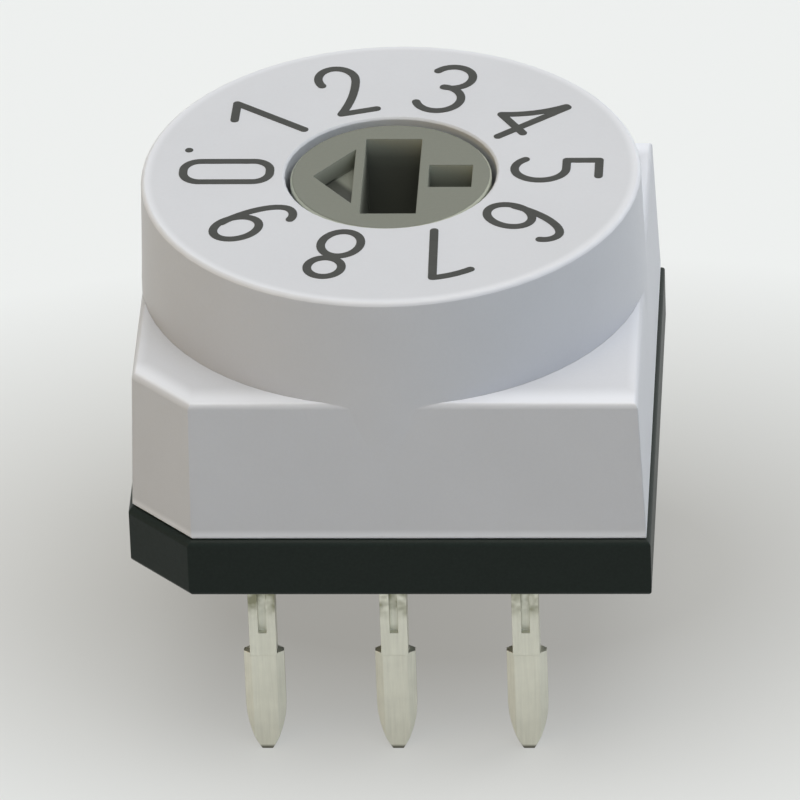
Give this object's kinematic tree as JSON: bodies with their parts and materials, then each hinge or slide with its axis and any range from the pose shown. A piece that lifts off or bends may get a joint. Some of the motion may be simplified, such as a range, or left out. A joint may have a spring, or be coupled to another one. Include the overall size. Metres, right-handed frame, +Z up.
{
  "type": "rotary dip switch",
  "caption": "Sealed rotary coded switch for through-hole mounting, with a round dial and a screwdriver-set rotor.",
  "frame": {"origin": "on the seating plane, the underside of the base, under the rotor's axis and at the middle of the terminal pattern", "axes": "+Z up along the rotor's axis, -Y to the front row of terminals, the cut corner that marks the first terminal at -X -Y"},
  "size_m": [0.01, 0.01, 0.0107],
  "materials": {
    "housing_plastic": "satin moulded, light cool grey",
    "base_plastic": "satin moulded, black",
    "rotor_plastic": "satin moulded, grey-green",
    "seal_rubber": "matt",
    "plated_contact": "gold plated",
    "spring_steel": "bright rolled",
    "tinned_metal": "satin tin plating",
    "sealing_resin": "cast, smooth"
  },
  "bodies": {
    "switch_body": {"base": "base_plastic", "housing": "housing_plastic", "detent_spring_left": "spring_steel", "detent_spring_right": "spring_steel", "terminal_bit_1": "tinned_metal", "terminal_bit_2": "tinned_metal", "terminal_bit_4": "tinned_metal", "terminal_bit_8": "tinned_metal", "terminal_common": "tinned_metal", "resin_front": "sealing_resin", "resin_rear": "sealing_resin"},
    "turning_rotor": {"rotor": "rotor_plastic", "rotor_seal": "seal_rubber", "code_disc": "plated_contact"}
  },
  "joints": [
    {"name": "rotor_turn", "type": "hinge", "parent": "switch_body", "child": "turning_rotor", "pos_m": [0, 0, 0.0042], "axis": [0, 0, 1], "continuous": true, "deforming": ["detent_spring_left", "detent_spring_right"]}
  ]
}
